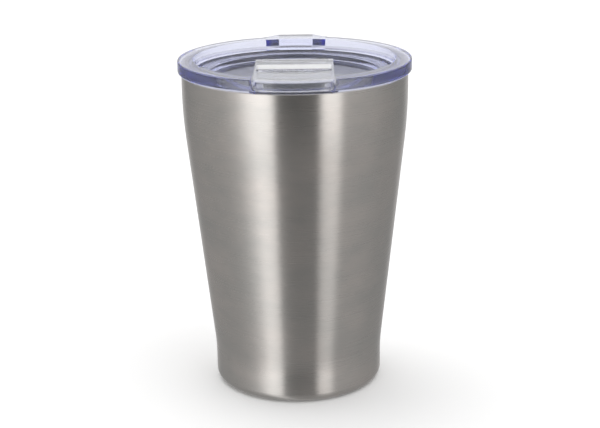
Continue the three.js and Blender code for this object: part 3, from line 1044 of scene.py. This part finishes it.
# %% Sky
# Bearings are degrees from the viewer's side, left negative; levels are shares of the sky's strength.
SKY_STRENGTH = 2.0
LOW_SKY = [
    (-180, 0.26), (-144, 0.19), (-116, 0.17), (-89, 0.18), (-60, 0.21), (-50, 0.27), (-41, 0.56),
    (-31, 0.48), (-20, 0.23), (-10, 0.18), (0, 0.17), (15, 0.17), (30, 0.13), (42, 0.22), (55, 0.18),
    (106, 0.18), (144, 0.17), (180, 0.26),
]
MIDDLE_SKY = [
    (-180, 0.38), (-157, 0.28), (-144, 0.14), (-116, 0.19), (-89, 0.23), (-74, 0.27), (-60, 0.44),
    (-47, 0.90), (-36, 1.00), (-23, 1.00), (-18, 0.04), (0, 0.01), (23, 0.03), (29, 0.93), (44, 0.89),
    (51, 0.28), (74, 0.24), (106, 0.17), (144, 0.15), (157, 0.28), (180, 0.38),
]
UPPER_SKY = [
    (-180, 0.66), (-120, 0.60), (-60, 0.36), (0, 0.26), (45, 0.40), (90, 0.50), (180, 0.66),
]
LOW_TO_MIDDLE = (-0.58, -0.16)
MIDDLE_TO_UPPER = (0.05, 0.45)


def sky_tier(tree, turn, stops):
    """A ramp round the compass, from bearing and level stops."""
    ramp = add_node(tree, "ShaderNodeValToRGB", {0: turn})
    elements = ramp.color_ramp.elements
    elements.remove(elements[1])
    for k, (degrees, level) in enumerate(stops):
        place = 0.5 + degrees / 360
        element = elements.new(place) if k else elements[0]
        element.position = place
        element.color = (level, level, level, 1)
    return ramp.outputs[0]


def soft_sky():
    world = bpy.data.worlds.new("studio_sky")
    bpy.context.scene.world = world
    world.use_nodes = True
    tree = world.node_tree
    tree.nodes.clear()
    direction = add_node(tree, "ShaderNodeTexCoord").outputs["Generated"]
    parts = add_node(tree, "ShaderNodeSeparateXYZ", {0: direction})
    forward = add_node(
        tree, "ShaderNodeMath", {0: parts.outputs["Y"], 1: -1.0}, operation="MULTIPLY"
    )
    bearing = add_node(
        tree, "ShaderNodeMath", {0: parts.outputs["X"], 1: forward.outputs[0]}, operation="ARCTAN2"
    )
    turn = add_node(
        tree,
        "ShaderNodeMapRange",
        {"Value": bearing.outputs[0], "From Min": -math.pi, "From Max": math.pi},
    )
    sky = sky_tier(tree, turn.outputs[0], LOW_SKY)
    for stops, (start, end) in ((MIDDLE_SKY, LOW_TO_MIDDLE), (UPPER_SKY, MIDDLE_TO_UPPER)):
        height = add_node(
            tree,
            "ShaderNodeMapRange",
            {"Value": parts.outputs["Z"], "From Min": start, "From Max": end},
            interpolation_type="SMOOTHSTEP",
        )
        tier = sky_tier(tree, turn.outputs[0], stops)
        inputs = {"Factor": height.outputs[0], 6: sky, 7: tier}
        sky = add_node(tree, "ShaderNodeMix", inputs, data_type="RGBA").outputs[2]
    background = add_node(tree, "ShaderNodeBackground", {"Color": sky, "Strength": SKY_STRENGTH})
    output = add_node(tree, "ShaderNodeOutputWorld")
    tree.links.new(background.outputs[0], output.inputs["Surface"])


soft_sky()

# %% [markdown]
# The floor is a very wide sheet of matt white paper. Its faint grain only stirs the roughness.

# %% Floor
FLOOR_HALF = 20000
FLOOR_GRID = 8
PAPER_GRAIN = MM / 0.9


def white_floor():
    bm = bmesh.new()
    bmesh.ops.create_grid(bm, x_segments=FLOOR_GRID, y_segments=FLOOR_GRID, size=FLOOR_HALF)
    floor = new_object("studio_floor", bm)
    material, tree, output = new_material("white_paper")
    place = add_node(tree, "ShaderNodeTexCoord").outputs["Object"]
    grain = add_node(tree, "ShaderNodeTexNoise", {"Vector": place, "Scale": 1 / PAPER_GRAIN})
    rough = add_node(
        tree,
        "ShaderNodeMapRange",
        {"Value": grain.outputs["Fac"], "To Min": 0.85, "To Max": 0.95},
    )
    shader = add_node(
        tree,
        "ShaderNodeBsdfPrincipled",
        {"Base Color": linear("f7f7f7"), "Roughness": rough.outputs[0], "Specular IOR Level": 0.0},
    )
    tree.links.new(shader.outputs[0], output.inputs["Surface"])
    wear(floor, material)
    floor.visible_glossy = False
    print("floor", 2 * FLOOR_HALF * MM, "m wide")


white_floor()

# %% [markdown]
# Two large softboxes hang almost overhead, one towards the back left and one towards the front right,
# so that the cup's soft shadows stay close to its foot. They are kept out of the steel's reflections
# and of what is seen through the lid, which the sky already fills.

# %% Softboxes
def softbox(name, bearing, height, distance, size, power):
    light = bpy.data.lights.new(name, "AREA")
    light.shape = "DISK"
    light.size = size
    light.energy = power
    box = bpy.data.objects.new(name, light)
    turn, rise = math.radians(bearing), math.radians(height)
    out = Vector((math.sin(turn) * math.cos(rise), -math.cos(turn) * math.cos(rise), math.sin(rise)))
    box.location = out * distance
    box.rotation_euler = out.to_track_quat("Z", "Y").to_euler()
    box.visible_glossy = False
    box.visible_transmission = False
    bpy.context.scene.collection.objects.link(box)
    print(f"{name}: {power} W, {size} m across")


softbox("softbox_back_left", bearing=-125, height=74, distance=2.5, size=1.6, power=12.5)
softbox("softbox_front_right", bearing=55, height=71, distance=2.5, size=1.6, power=10)

# %% [markdown]
# The camera looks down at the cup from a little over half a metre away, through a short telephoto
# lens, a hair to the right of the drinking side.

# %% Camera
SENSOR_WIDTH = 36
CAMERA_PLACE = Vector((0.0071, -0.5398, 0.2314))
BOUNCES = 32


def look_from(place, down, yaw, roll, lens):
    """Sets the camera up, with its angles in radians and its lens in millimetres."""
    camera = bpy.data.objects.new("camera", bpy.data.cameras.new("camera"))
    camera.data.lens = lens
    camera.data.sensor_width = SENSOR_WIDTH
    turn = Matrix.Rotation(yaw, 4, "Z") @ Matrix.Rotation(math.pi / 2 - down, 4, "X")
    camera.matrix_world = Matrix.Translation(place) @ turn @ Matrix.Rotation(roll, 4, "Z")
    bpy.context.scene.collection.objects.link(camera)
    bpy.context.scene.camera = camera
    print(f"camera {place.length:.3f} m away, looking {math.degrees(down):.1f} degrees down")


look_from(CAMERA_PLACE, down=0.2985, yaw=0.0108, roll=-0.013, lens=87.4)

# %% [markdown]
# Light that is trapped in the clear ring bounces many times before it gets out, so the limits on
# bounces are raised. The plain view transform keeps the white floor white.

# %% Render settings that the looks need
scene = bpy.context.scene
scene.view_settings.view_transform = "Standard"
scene.cycles.max_bounces = BOUNCES
scene.cycles.transmission_bounces = BOUNCES
scene.cycles.glossy_bounces = BOUNCES
print("bounces", BOUNCES)
